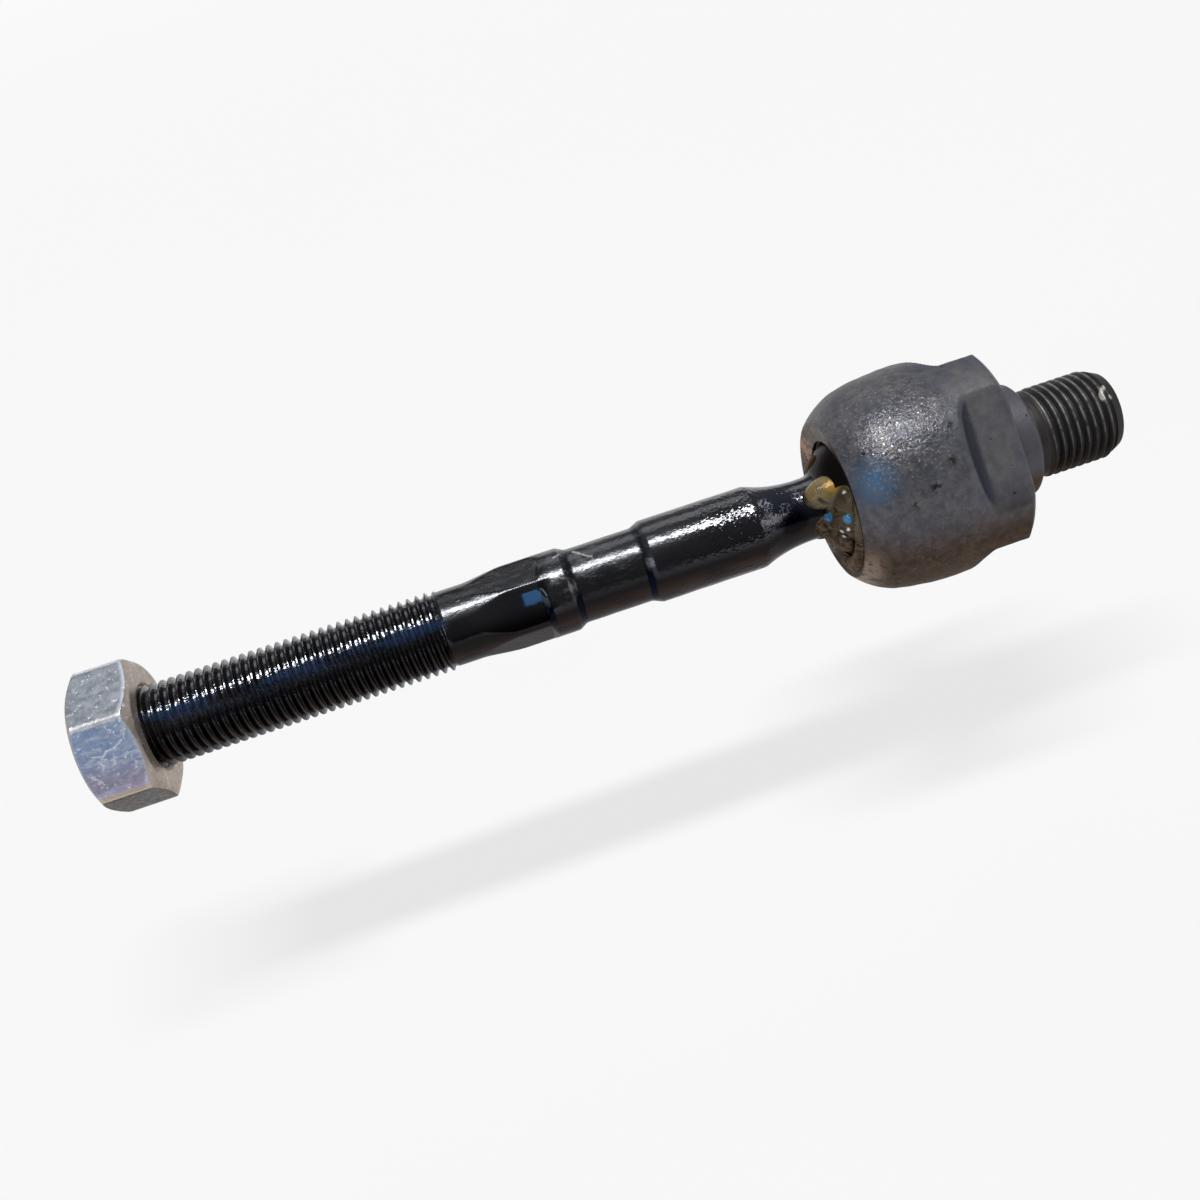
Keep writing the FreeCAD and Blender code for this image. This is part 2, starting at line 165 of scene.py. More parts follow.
def surface(name, x, r, turn, finish, body, crease=35.0):
    """The piece swept by radius r at station x and angle: (x, r sin, r cos), seams and poles merged."""
    x, r, turn = np.broadcast_arrays(x, r, turn)
    points = np.stack([x, r * np.sin(turn), r * np.cos(turn)], -1) * MM
    rows, columns = points.shape[:2]
    corner = np.arange((rows - 1) * columns).reshape(rows - 1, columns)[:, :-1].ravel()
    quads = np.stack([corner, corner + columns, corner + columns + 1, corner + 1], -1)
    mesh = bpy.data.meshes.new(name)
    mesh.from_pydata(points.reshape(-1, 3), [], quads)
    work = bmesh.new()
    work.from_mesh(mesh)
    bmesh.ops.remove_doubles(work, verts=work.verts, dist=2e-7)
    bmesh.ops.dissolve_degenerate(work, edges=work.edges, dist=1e-8)
    work.to_mesh(mesh)
    work.free()
    mesh.shade_smooth()
    mesh.set_sharp_from_angle(angle=math.radians(crease))
    mesh.materials.append(finish)
    piece = bpy.data.objects.new(name, mesh)
    bpy.context.scene.collection.objects.link(piece)
    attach(piece, body)
    return piece


# Finishes

class Reading:
    """One socket of a node tree.  Arithmetic between readings and numbers adds Math nodes."""

    def __init__(self, nodes, socket):
        self.nodes, self.socket = nodes, socket

    def sum_up(self, operation, *others):
        return self.nodes.node("ShaderNodeMath", {"operation": operation}, dict(enumerate(others)))

    def __add__(self, other):
        return self.sum_up("ADD", self, other)

    def __sub__(self, other):
        return self.sum_up("SUBTRACT", self, other)

    def __rsub__(self, other):
        return self.sum_up("SUBTRACT", other, self)

    def __mul__(self, other):
        return self.sum_up("MULTIPLY", self, other)

    __radd__, __rmul__ = __add__, __mul__

    def ramp(self, low, high):
        """0 below low, 1 above high and an even S between; high may be the smaller."""
        return self.nodes.node("ShaderNodeMapRange", {"interpolation_type": "SMOOTHSTEP"},
                               {0: self, 1: low, 2: high, 3: 0.0, 4: 1.0})


class Nodes:
    """The node tree of a material or a world, emptied."""

    def __init__(self, owner):
        owner.use_nodes = True
        self.tree = owner.node_tree
        self.tree.nodes.clear()

    def node(self, kind, settings=None, sockets=None, out=0):
        """Adds a node: its settings first, then numbers or readings on its sockets."""
        made = self.tree.nodes.new(kind)
        for key, value in (settings or {}).items():
            setattr(made, key, value)
        for key, value in (sockets or {}).items():
            if isinstance(value, Reading):
                self.tree.links.new(value.socket, made.inputs[key])
            else:
                made.inputs[key].default_value = value
        return Reading(self, made.outputs[out]) if made.outputs else None

    def mirrored_rays(self):
        """1 for rays that a mirror or glass sends on, 0 for others."""
        return (self.node("ShaderNodeLightPath", out="Is Glossy Ray")
                + self.node("ShaderNodeLightPath", out="Is Transmission Ray"))


class Finish(Nodes):
    """A procedural finish.  Its place, x, y, z and its reach from the axis are in millimetres."""

    def __init__(self, name):
        self.material = bpy.data.materials.new(name)
        super().__init__(self.material)
        self.place = self.scaled(self.node("ShaderNodeTexCoord", out="Object"), (1000, 1000, 1000))
        self.x, self.y, self.z = (self.node("ShaderNodeSeparateXYZ", {}, {0: self.place}, out=k)
                                  for k in range(3))
        self.reach = self.node("ShaderNodeVectorMath", {"operation": "LENGTH"},
                               {0: self.scaled(self.place, (0, 1, 1))}, out="Value")

    def scaled(self, vector, factors):
        """The vector with each component multiplied by its factor."""
        return self.node("ShaderNodeVectorMath", {"operation": "MULTIPLY"}, {0: vector, 1: factors})

    def grain(self, per_mm, detail=2.0, rough=0.5, stretch=(1, 1, 1), shift=0.0, warp=0.0):
        """Cloudy noise between 0 and 1, with about per_mm blotches in a millimetre."""
        spot = self.place if stretch == (1, 1, 1) else self.scaled(self.place, stretch)
        if shift:
            spot = self.node("ShaderNodeVectorMath", {"operation": "ADD"}, {0: spot, 1: (shift,) * 3})
        return self.node("ShaderNodeTexNoise", {}, {"Vector": spot, "Scale": per_mm, "Detail": detail,
                                                    "Roughness": rough, "Distortion": warp})

    def cells(self, per_mm):
        """Distance to the nearest of scattered points, in spacings."""
        return self.node("ShaderNodeTexVoronoi", {}, {"Vector": self.place, "Scale": per_mm})

    def near(self, spot, inner, outer):
        """1 within inner millimetres of a spot, 0 beyond outer."""
        gap = self.node("ShaderNodeVectorMath", {"operation": "DISTANCE"}, {0: self.place, 1: spot},
                        out="Value")
        return gap.ramp(outer, inner)

    def stroke(self, start, finish, width, wander=0.0):
        """1 on a scratch from start to finish, fading over its width, 0 elsewhere."""
        spot = self.place
        if wander:
            push = self.node("ShaderNodeTexNoise", {}, {"Vector": self.place, "Scale": 0.9},
                             out="Color")
            push = self.node("ShaderNodeVectorMath", {"operation": "MULTIPLY_ADD"},
                             {0: push, 1: (wander,) * 3, 2: (-wander / 2,) * 3})
            spot = self.node("ShaderNodeVectorMath", {"operation": "ADD"}, {0: spot, 1: push})
        way = Vector(finish) - Vector(start)
        away = self.node("ShaderNodeVectorMath", {"operation": "SUBTRACT"}, {0: spot, 1: start})
        along = self.node("ShaderNodeVectorMath", {"operation": "DOT_PRODUCT"},
                          {0: away, 1: way / way.length_squared}, out="Value")
        held = self.node("ShaderNodeClamp", {}, {0: along})
        foot = self.node("ShaderNodeVectorMath", {"operation": "SCALE"}, {0: way, "Scale": held})
        gap = self.node("ShaderNodeVectorMath", {"operation": "DISTANCE"}, {0: away, 1: foot},
                        out="Value")
        return gap.ramp(width, width * 0.35)

    def mix(self, share, first, second):
        """Colour that goes from first to second as share goes from 0 to 1."""
        first, second = (c if isinstance(c, Reading) else (*c, 1.0) for c in (first, second))
        return self.node("ShaderNodeMix", {"data_type": "RGBA"}, {0: share, 6: first, 7: second}, out=2)

    def facing(self, axis):
        """Component 0, 1 or 2 of the surface normal in the piece's own frame."""
        normal = self.node("ShaderNodeTexCoord", out="Normal")
        return self.node("ShaderNodeSeparateXYZ", {}, {0: normal}, out=axis)

    def coat(self, height, depth_mm, sockets):
        """One principled shader over a bump whose full height is depth_mm."""
        bump = self.node("ShaderNodeBump", {}, {"Height": height, "Distance": depth_mm * MM})
        return self.node("ShaderNodeBsdfPrincipled", {}, {**sockets, "Normal": bump})

    def close(self, shader):
        """Ends the finish with a shader and gives the material."""
        self.node("ShaderNodeOutputMaterial", {}, {"Surface": shader})
        return self.material

    def cover(self, height, depth_mm, sockets):
        """Ends the finish with one coat and gives the material."""
        return self.close(self.coat(height, depth_mm, sockets))


def forged_oxide():
    """Blue-black forging scale, pitted, with painted glints; darker and browner low down as painted
    reflection and shade; greasy, with painted shade in the mouth, and rust under a painted warm
    reflection at the lip.
    """
    f = Finish("forged_oxide")
    clouds = f.grain(0.16, 5, 0.6)
    mottle = f.grain(0.7, 6, 0.65, shift=7)
    grit = f.grain(1.6, 3, 0.6, shift=3)
    low = f.z.ramp(8.0, -2.0)
    cup = f.x.ramp(-13.0, -19.0)
    colour = f.mix(clouds.ramp(0.3, 0.7), (0.088, 0.096, 0.128), (0.15, 0.146, 0.155))
    colour = f.mix(mottle.ramp(0.36, 0.66) * (0.4 + 0.35 * cup), colour, (0.05, 0.052, 0.064))
    # Lower down the scale is painted a darker brown and made more metallic: painted reflection of a warm
    # ground and painted shade.
    brown = f.mix(mottle.ramp(0.35, 0.65), (0.075, 0.048, 0.036), (0.042, 0.029, 0.022))
    colour = f.mix(low, colour, brown)
    # The walls in front of the wrench flats are painted dark blue: painted shade.
    wall = f.x.ramp(-18.5, -17.0) * f.x.ramp(-12.4, -13.4) * f.reach.ramp(18.6, 18.0) * (1 - low)
    colour = f.mix(wall, colour, (0.024, 0.028, 0.05))
    # The shoulder is painted lighter on its upper half: painted light.
    colour = f.mix(f.x.ramp(-6.3, -6.0) * f.z.ramp(-2.0, 3.0), colour, (0.1, 0.102, 0.122))
    # Tan on the upper far rim of the cup: painted warm reflection at a grazing angle.
    limb = f.near((-33.5, 13.0, 8.5), 4.0, 10.0) * mottle.ramp(0.3, 0.6)
    scuffed = f.x.ramp(-30.5, -33.8) * f.z.ramp(2.5, -3.5) * mottle.ramp(0.36, 0.54)
    colour = f.mix(scuffed * 0.85, colour, (0.26, 0.18, 0.13))
    colour = f.mix(limb * 0.7, colour, (0.16, 0.115, 0.09))
    # A blue patch on the cup: painted reflection of a blue sky.
    blue = f.near((-31.3, -11.6, 12.3), 0.5, 5.5) * mottle.ramp(0.25, 0.6)
    colour = f.mix(blue * 0.9, colour, (0.05, 0.148, 0.29))
    # Where the lamp's highlight falls on the cup, pale dots and flecks are painted glints, and the scale
    # there is smoother.
    shine = f.near((-25.0, -6.0, 16.5), 1.0, 14.0)
    skin = (0.12 + 0.88 * shine) * cup
    dots = f.cells(1.25).ramp(0.3, 0.14) * shine * mottle.ramp(0.4, 0.52)
    painted_glints = (0.5 * grit.ramp(0.57, 0.64) * skin + dots) * clouds.ramp(0.34, 0.5)
    colour = f.mix(painted_glints * 0.6, colour, (0.75, 0.76, 0.8))
    chips = f.near((-22.5, -15.3, 10.4), 0.3, 1.5)
    for spot in ((-17.2, -9.1, 16.3), (-26.3, -16.2, 8.9), (-19.0, -13.5, 12.9), (-15.5, 9.0, 16.0),
                 (-24.0, 3.0, -18.2), (-21.0, 17.8, 4.0)):
        chips = chips + f.near(spot, 0.2, 1.1)
    pits = (chips + f.cells(0.3).ramp(0.12, 0.04)) * mottle.ramp(0.42, 0.52)
    colour = f.mix(pits, colour, (0.012, 0.012, 0.014))
    # Inside the lip the mouth is painted near black and made metallic: greasy dirt with painted shade in
    # the hole. The lip's far face has rust streaks under a painted warm reflection, brightest low down.
    within = f.reach.ramp(13.95, 13.8) * f.x.ramp(-12.3, -12.6)
    far_face = within * f.x.ramp(-33.3, -33.6) * f.y.ramp(-1.0, 2.5)
    streaks = f.grain(0.8, 6, 0.75, shift=8, warp=1.5)
    rust_and_reflection = f.mix(streaks.ramp(0.4, 0.6), (0.01, 0.007, 0.005), (0.14, 0.092, 0.063))
    bright_reflection = f.near((-33.9, 11.6, 3.0), 1.0, 4.0) * streaks.ramp(0.4, 0.55)
    rust_and_reflection = f.mix(bright_reflection, rust_and_reflection, (0.44, 0.27, 0.18))
    soiled_and_shaded = f.mix(mottle.ramp(0.35, 0.65), (0.028, 0.019, 0.013), (0.011, 0.008, 0.006))
    colour = f.mix(within, colour, f.mix(far_face, soiled_and_shaded, rust_and_reflection))
    stud = f.x.ramp(0.4, 1.2)
    # The stud's crests are made lighter and smoother on their upper side.
    upper_crests = f.reach.ramp(7.7, 7.9) * stud * mottle.ramp(0.3, 0.6) * f.z.ramp(0.5, 6.0)
    colour = f.mix(stud * 0.9, colour, (0.03, 0.027, 0.026))
    colour = f.mix(upper_crests * 0.9, colour, (0.3, 0.3, 0.31))
    mark = (f.stroke((13.4, -3.9, 7.0), (15.2, -4.4, 6.7), 0.8, 0.2)
            + f.stroke((12.9, -4.5, 6.6), (14.4, -2.2, 7.3), 0.7, 0.2))
    colour = f.mix(mark, colour, (0.9, 0.88, 0.82))
    rough = 0.46 - 0.24 * skin + 0.08 * mottle - 0.1 * upper_crests
    height = 0.4 * mottle + (0.25 + 0.75 * skin) * grit - 0.5 * pits
    metal = 0.3 + 0.6 * low + 0.6 * within - 0.7 * far_face + 0.5 * painted_glints + 0.1 * stud - 0.8 * scuffed
    return f.cover(height, 0.17, {"Base Color": colour, "Roughness": rough, "Metallic": metal,
                                  "Specular IOR Level": 0.8, "Specular Tint": (0.75, 0.69, 0.64, 1)})


def oiled_black():
    """Gloss black coat, oiled: orange-peel sparkle and painted glints towards the neck, painted blue
    reflections, and painted shade and a browner painted reflection underneath.
    """
    f = Finish("oiled_black")
    clouds = f.grain(0.12, 4, 0.6, stretch=(1, 1.6, 1.6))
    peel = f.grain(1.0, 2, 0.5)
    grit = f.grain(1.5, 2, 0.5, shift=5)
    runs = f.grain(0.5, 3, 0.6, stretch=(0.25, 1, 1), shift=2)
    low, under = f.z.ramp(5.0, 1.5), f.z.ramp(2.6, -2.4)
    thread = f.x.ramp(-102.5, -104.0)
    ball = f.x.ramp(-38.2, -36.6)
    out_flat = 0.588 * f.z - 0.809 * f.y
    mirror_flat = f.x.ramp(-84.0, -86.0) * (1 - thread) * out_flat.ramp(6.2, 6.4)
    colour = f.mix(clouds.ramp(0.35, 0.65), (0.003, 0.003, 0.005), (0.009, 0.008, 0.009))
    # A navy tint on the neck: painted reflection of a blue sky.
    navy = f.near((-43.5, -4.2, 4.8), 0.5, 8.0) * clouds.ramp(0.3, 0.6)
    colour = f.mix(navy * 0.6, colour, (0.004, 0.009, 0.036))
    # A blue stripe along the middle of the thread: painted reflection of a blue sky.
    stripe = f.y.ramp(-5.0, -3.9) * f.y.ramp(-2.0, -3.2) * f.z.ramp(0.0, 2.0) * thread
    colour = f.mix(stripe * runs.ramp(0.4, 0.6) * 0.7, colour, (0.02, 0.045, 0.115))
    # Tan on the thread's crests along the upper far side: painted warm reflection at a grazing angle.
    tan_limb_reflection = thread * f.y.ramp(3.4, 4.8) * f.z.ramp(1.0, 3.0) * f.reach.ramp(6.6, 6.8)
    colour = f.mix(tan_limb_reflection * 0.8, colour, (0.13, 0.095, 0.07))
    # Lower down the coat is painted near black and made metallic, then brown at the bottom: painted
    # shade and a painted reflection of a warm ground.
    colour = f.mix(low, colour, (0.008, 0.007, 0.008))
    under_reflection = f.mix(runs.ramp(0.35, 0.65), (0.04, 0.025, 0.017), (0.018, 0.012, 0.009))
    colour = f.mix(under, colour, under_reflection)
    grainy = f.x.ramp(-68.0, -50.0)
    scuffs = f.grain(0.8, 5, 0.7, stretch=(0.5, 1.4, 1.4), shift=12).ramp(0.5, 0.66)
    scuffs = scuffs * f.z.ramp(3.0, 6.0)
    top_flat = (0.995 * f.z + 0.1 * f.y).ramp(6.2, 6.5) * f.x.ramp(-84.0, -86.0) * (1 - thread)
    scuffs = scuffs * f.x.ramp(-69.5, -72.0) * (1 - thread) * (1 - mirror_flat)
    # The feet of the two steps and the short wall at the end of the collar's flat are painted navy black
    # and made more metallic: painted shade.
    steps = f.x.ramp(-69.4, -69.1) * f.x.ramp(-68.0, -68.5)
    steps = steps + f.x.ramp(-81.9, -81.4) * f.x.ramp(-80.5, -80.8)
    steps = steps + f.x.ramp(-87.0, -86.8) * f.x.ramp(-85.5, -86.0) * out_flat.ramp(6.3, 6.45)
    colour = f.mix(steps, colour, (0.003, 0.005, 0.011))
    # The ball is painted a dark greasy brown and made metallic, so it shows little reflection: painted
    # shade inside the socket.
    colour = f.mix(ball, colour, (0.02, 0.015, 0.011))
    # White glints clustered near the neck: painted glints.
    glint_spots = f.near((-40.6, -1.9, 5.3), 0.4, 2.2)
    for spot in ((-46.9, -2.3, 6.2), (-43.6, -3.6, 4.9), (-50.0, -2.6, 6.7)):
        glint_spots = glint_spots + f.near(spot, 0.2, 2.0)
    glints = f.grain(2.4, 1, 0.5, shift=2).ramp(0.5, 0.6) * glint_spots.ramp(0.1, 0.9)
    glints = glints + f.cells(1.4).ramp(0.18, 0.1) * peel.ramp(0.5, 0.55)
    glints = glints * f.near((-48.5, -1.8, 6.8), 2.0, 11.0) * (1 - low) * (1 - ball)
    shadow = f.near((-43.0, -4.6, 4.4), 0.5, 4.0)
    scrape = (f.stroke((-83.0, 0.6, 7.2), (-81.1, 1.6, 7.05), 0.3, 1.0)
              + f.stroke((-81.1, 1.6, 7.05), (-79.6, 1.5, 6.4), 0.3, 1.0)
              + f.stroke((-79.6, 1.5, 6.4), (-77.0, -1.2, 6.38), 0.34, 1.2)
              + f.stroke((-100.4, -1.2, 6.6), (-95.5, 0.6, 6.9), 0.16, 1.6))
    colour = f.mix(scuffs * 0.45, colour, (0.13, 0.13, 0.15))
    colour = f.mix(scrape * 0.8, colour, (0.45, 0.45, 0.47))
    # Glints near the end of the shank are painted blue: painted reflection of a blue sky.
    tone = f.mix(f.near((-48.8, 0.8, 7.0), 1.0, 3.5), (0.75, 0.78, 0.88), (0.14, 0.24, 0.62))
    colour = f.mix(glints, colour, tone)
    rough = (0.22 - 0.12 * grainy - 0.2 * mirror_flat - 0.08 * thread + 0.08 * low * (1 - mirror_flat)
             + 0.12 * scuffs + 0.2 * ball)
    grainy = grainy * f.x.ramp(-45.0, -48.5)
    height = (0.15 + 0.4 * grainy) * peel + (0.3 + 0.6 * grainy + 0.2 * thread) * grit
    height = height * (1 - 0.99 * mirror_flat)
    metal = 0.95 * low + 0.8 * glints + 0.95 * ball + 0.7 * shadow + 0.5 * steps + 0.6 * top_flat
    return f.cover(height, 0.14, {"Base Color": colour, "Roughness": rough,
                                  "Metallic": metal,
                                  "Specular IOR Level": 1.0, "IOR": 1.68,
                                  "Specular Tint": (0.76, 0.78, 0.83, 1)})


def zinc_plate():
    """Bright zinc with a faint blue and violet passivation, partly painted sky reflection; light flecks
    and handling marks; painted light, shade and reflections by the way each face faces.
    """
    f = Finish("zinc_plate")
    nx, nz = f.facing(0), f.facing(2)
    clouds = f.grain(0.26, 4, 0.6)
    frost = f.grain(1.4, 5, 0.65, shift=4)
    streaks = f.grain(0.8, 4, 0.7, stretch=(0.5, 1, 2.2), shift=9)
    fleck = f.grain(0.9, 4, 0.6, shift=9).ramp(0.58, 0.66)
    dull = f.grain(0.5, 5, 0.7, shift=15)
    # The faces run from violet low down to blue higher up, with paler streaks higher up: partly the
    # plating's passivation, partly painted sky reflection.
    higher = (f.z + 5.0 * clouds).ramp(4.5, 8.5)
    colour = f.mix(higher, (0.5, 0.44, 0.6), (0.4, 0.52, 0.8))
    colour = f.mix(clouds.ramp(0.5, 0.66) * streaks.ramp(0.38, 0.52) * 0.6, colour, (0.36, 0.38, 0.55))
    colour = f.mix(streaks.ramp(0.45, 0.62) * (0.35 + 0.35 * higher), colour, (0.75, 0.82, 0.97))
    # Upward faces are painted grey, downward faces near black and faces towards the socket beige:
    # painted light and shade by the way each face faces.
    top = f.mix(dull.ramp(0.35, 0.65), (0.24, 0.28, 0.31), (0.52, 0.54, 0.58))
    colour = f.mix(nz.ramp(0.55, 0.95) * 0.9, colour, top)
    colour = f.mix((0.0 - nz).ramp(0.1, 0.45) * 0.99, colour, (0.022, 0.018, 0.015))
    inner = f.mix(dull.ramp(0.3, 0.7), (0.38, 0.29, 0.21), (0.55, 0.45, 0.35))
    colour = f.mix(nx.ramp(0.3, 0.6) * 0.85, colour, inner)
    colour = f.mix(fleck * nz.ramp(-0.2, 0.1) * 0.8, colour, (0.9, 0.93, 0.97))
    # The outer chamfer is painted tan and the outer end face grey: painted warm reflection and painted
    # light.
    outward = 0.0 - nx
    colour = f.mix(outward.ramp(0.3, 0.55) * outward.ramp(0.95, 0.85), colour, (0.4, 0.32, 0.24))
    colour = f.mix(outward.ramp(0.85, 0.95) * 0.8, colour, top)
    # The inner chamfer's upper edge is painted pale blue, and the corners are painted near white up high
    # and tan low down: painted highlights and painted warm reflection, over real wear on the corners.
    bevel = (f.x + 0.577 * f.reach + 147.27).ramp(-0.9, -0.2) * nx.ramp(0.4, 0.2) * nz.ramp(0.2, 0.6)
    edge = (f.reach + 0.25 * frost).ramp(12.4, 12.55)
    colour = f.mix(edge * f.z.ramp(4.0, 0.0), colour, (0.6, 0.5, 0.38))
    colour = f.mix(edge * f.z.ramp(4.0, 9.0), colour, (0.95, 0.97, 1.0))
    colour = f.mix(bevel * frost.ramp(0.3, 0.5) * 0.8, colour, (0.8, 0.88, 1.0))
    marks = f.stroke((-160.85, -8.95, 6.51), (-159.3, -9.19, 6.09), 0.2, 0.2)
    for start, finish in (((-159.3, -9.19, 6.09), (-158.5, -8.8, 6.75)),
                          ((-158.5, -8.8, 6.75), (-157.2, -8.75, 6.86)),
                          ((-157.2, -8.75, 6.86), (-155.75, -8.3, 7.6)),
                          ((-160.3, -9.4, 5.7), (-159.8, -9.8, 5.0)),
                          ((-159.8, -9.8, 5.0), (-160.1, -10.2, 4.3))):
        marks = marks + f.stroke(start, finish, 0.2, 0.2)
    colour = f.mix(marks * 0.9, colour, (0.8, 0.9, 1.0))
    rough = 0.28 + 0.2 * frost.ramp(0.35, 0.7) - 0.08 * fleck
    height = 0.5 * clouds + 0.5 * frost + 0.2 * streaks - 0.3 * fleck - 0.3 * marks
    return f.cover(height, 0.1, {"Base Color": colour, "Roughness": rough, "Metallic": 0.65,
                                 "Specular Tint": (0.8, 0.77, 0.74, 1)})


def wet_grease():
    """Amber grease: clear yellow on its lumps, olive where thin, dark with picked-up dirt low down;
    painted shade on its far upper side, painted reflections and painted glints.
    """
    f = Finish("wet_grease")
    clouds = f.grain(0.28, 3, 0.55)
    stir = f.grain(0.9, 3, 0.5, shift=6, warp=1.2)
    amber = f.near((-37.2, -2.9, 6.9), 2.5, 3.5)
    gold = f.near((-35.7, -4.0, 7.6), 0.5, 1.9)
    low = f.z.ramp(4.4, 1.0)
    # On its far upper side, in the hole behind the lip, the grease is painted near black and made
    # metallic: painted shade.
    dark = f.y.ramp(-3.6, -1.0) * f.z.ramp(-3.0, 2.0) * (1 - amber)
    colour = f.mix(clouds.ramp(0.3, 0.65), (0.11, 0.08, 0.03), (0.04, 0.028, 0.014))
    # Low down the grease is painted a darker, dirty brown and made metallic: picked-up dirt and painted
    # shade.
    soiled_and_shaded = f.mix(stir.ramp(0.35, 0.65), (0.12, 0.088, 0.066), (0.018, 0.012, 0.009))
    colour = f.mix(low * 0.8, colour, soiled_and_shaded)
    colour = f.mix(dark, colour, (0.008, 0.005, 0.003))
    colour = f.mix(amber, colour, f.mix(stir.ramp(0.3, 0.7), (0.15, 0.118, 0.056), (0.225, 0.168, 0.07)))
    colour = f.mix(gold, colour, (0.46, 0.27, 0.03))
    # Two blue spots and a green one on the grease: painted reflections.
    for spot in ((-37.4, -6.0, 2.4), (-35.2, -8.9, 3.5)):
        colour = f.mix(f.near(spot, 0.5, 1.15) * stir.ramp(0.3, 0.42), colour, (0.06, 0.25, 0.5))
    colour = f.mix(f.near((-37.7, -4.6, 4.8), 0.2, 0.7), colour, (0.12, 0.16, 0.03))
    # A near-black line along the crease under the amber lump: painted shade.
    crease = f.stroke((-38.2, -4.6, 5.6), (-36.2, -6.6, 3.8), 0.55, 0.3)
    colour = f.mix(crease, colour, (0.006, 0.004, 0.003))
    # Small white spots on the grease: painted glints.
    glint_spots = f.near((-36.4, -8.7, 0.7), 0.1, 0.7)
    for spot in ((-34.4, -6.2, 6.8), (-38.8, -2.6, 7.2), (-38.2, -1.6, 7.6), (-34.3, -10.6, 4.4),
                 (-35.6, -8.3, -0.6), (-35.4, -9.4, 1.6)):
        glint_spots = glint_spots + f.near(spot, 0.1, 0.55)
    colour = f.mix(glint_spots * stir.ramp(0.46, 0.5), colour, (0.85, 0.85, 0.82))
    height = 0.5 * stir + 0.6 * f.grain(1.9, 3, 0.6, shift=1)
    rough = 0.08 + 0.12 * stir + 0.25 * dark + 0.35 * low
    metal = 0.95 * dark + 0.9 * low * (1 - amber)
    return f.cover(height, 0.15, {"Base Color": colour, "Roughness": rough, "Metallic": metal,
                                  "Specular IOR Level": 1.0, "Specular Tint": (0.6, 0.52, 0.45, 1)})


def greased_plastic():
    """Natural moulded plastic of the seats, stained by grease."""
    f = Finish("greased_plastic")
    stain = f.grain(0.35, 4, 0.6)
    colour = f.mix(stain.ramp(0.3, 0.7), (0.34, 0.29, 0.17), (0.16, 0.12, 0.05))
    return f.cover(stain + 0.3 * f.grain(2.5, 2), 0.03, {"Base Color": colour,
                                                          "Roughness": 0.3 + 0.2 * stain})


def spring_sheet():
    """Oiled spring steel with rolling marks."""
    f = Finish("spring_sheet")
    marks = f.grain(1.2, 3, 0.6, stretch=(1, 0.2, 3))
    colour = f.mix(marks, (0.22, 0.22, 0.23), (0.36, 0.35, 0.34))
    return f.cover(marks, 0.01, {"Base Color": colour, "Roughness": 0.25 + 0.2 * marks, "Metallic": 1.0})


oxide, black, zinc = forged_oxide(), oiled_black(), zinc_plate()
grease, plastic, sheet_steel = wet_grease(), greased_plastic(), spring_sheet()


# Socket housing

def flange_cut(x):
    """Distance of a wrench flat from the axis: level, with a wall in front and a broken back edge.

    The wall is an S of two parabolas and then a straight slope, and the edge drops as a parabola.
    """
    flat, wall_start, wall_end, wall_height, edge_start = 16.0, -12.7, -17.3, 3.1, -6.4
    climb = np.clip((wall_start - x) / 4.6, 0, 1)
    rise = np.where(climb < 0.5, 2 * climb ** 2, 1 - 2 * (1 - climb) ** 2) * wall_height
    beyond = np.maximum(wall_end - x, 0) * 2
    edge = np.maximum(x - edge_start, 0) ** 2 * 2.2
    return flat + rise + beyond - edge


def build_housing():
    """Cup, crimped lip, flange, shoulder and threaded stud as one closed turned surface.

    The radius is the outline's, held within the four flats: cut over the cosine off a flat's middle.
    """
    turn = turns(288)
    floor_x, mouth, widest, shoulder = -12.45, 10.45, 18.9, 10.0
    crimp, bend = (-34.5, 13.9), (-28.6, 17.8)
    inside = outline([(floor_x, 0), (floor_x, CAVITY_R, 0.8), (BALL_X, CAVITY_R)]
                     + bow((BALL_X, CAVITY_R), (-33.0, 12.3), CAVITY_R, 1, 9)[1:]
                     + [(-33.0, mouth, 0.1), (-33.6, mouth)], turn, 1.0)
    outside = outline([(-33.6, mouth), (-33.7, 10.5), (*crimp, 0.25)]
                      + bow(crimp, bend, 13, -1, 24)[1:]
                      + bow(bend, (-16.6, widest), 46, -1, 30)[1:]
                      + [(-7.1, widest, 0.35), (-6, 17.6, 0.3), (-6, shoulder, 0.6),
                         (-0.4, shoulder, 0.2), (0, 9.6, 0.15), (0, STUD_ROOT, 0.3),
                         (STUD_START, STUD_ROOT)], turn, 0.34)
    x, r = outside.real, outside.imag
    quarter = np.pi / 2
    off_flat = (turn - math.radians(FLANGE_TURN) + quarter / 2) % quarter - quarter / 2
    cut = flange_cut(x) / np.cos(off_flat)
    r = np.where(r > 12.5, softer_least(r, cut, 0.09), r)
    forged = np.clip((r - 10.2) / 3, 0, 1)
    lumps = unevenness(x, turn, 3, 14, 2.2) * 0.05 - 0.055
    r = r + lumps * forged
    thread_x, thread_r = helix(STUD_START, STUD_END, turn, STUD_CREST)
    fade = np.clip((thread_x - STUD_START) / 1.6, 0, 1)
    thread_r = STUD_ROOT + (thread_r - STUD_ROOT) * fade
    thread_r = np.minimum(thread_r, STUD_CREST - np.maximum(thread_x - 13.9, 0) * 0.48)
    end = outline([(STUD_END, 6.75), (STUD_END, 0)], turn, 0.9)
    all_x = np.concatenate([inside.real, x, thread_x, end.real])
    all_r = np.concatenate([inside.imag, r, thread_r, end.imag])
    piece = surface("forged_socket", all_x, all_r, turn, oxide, "socket")
    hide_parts("socket_housing")


# Rod

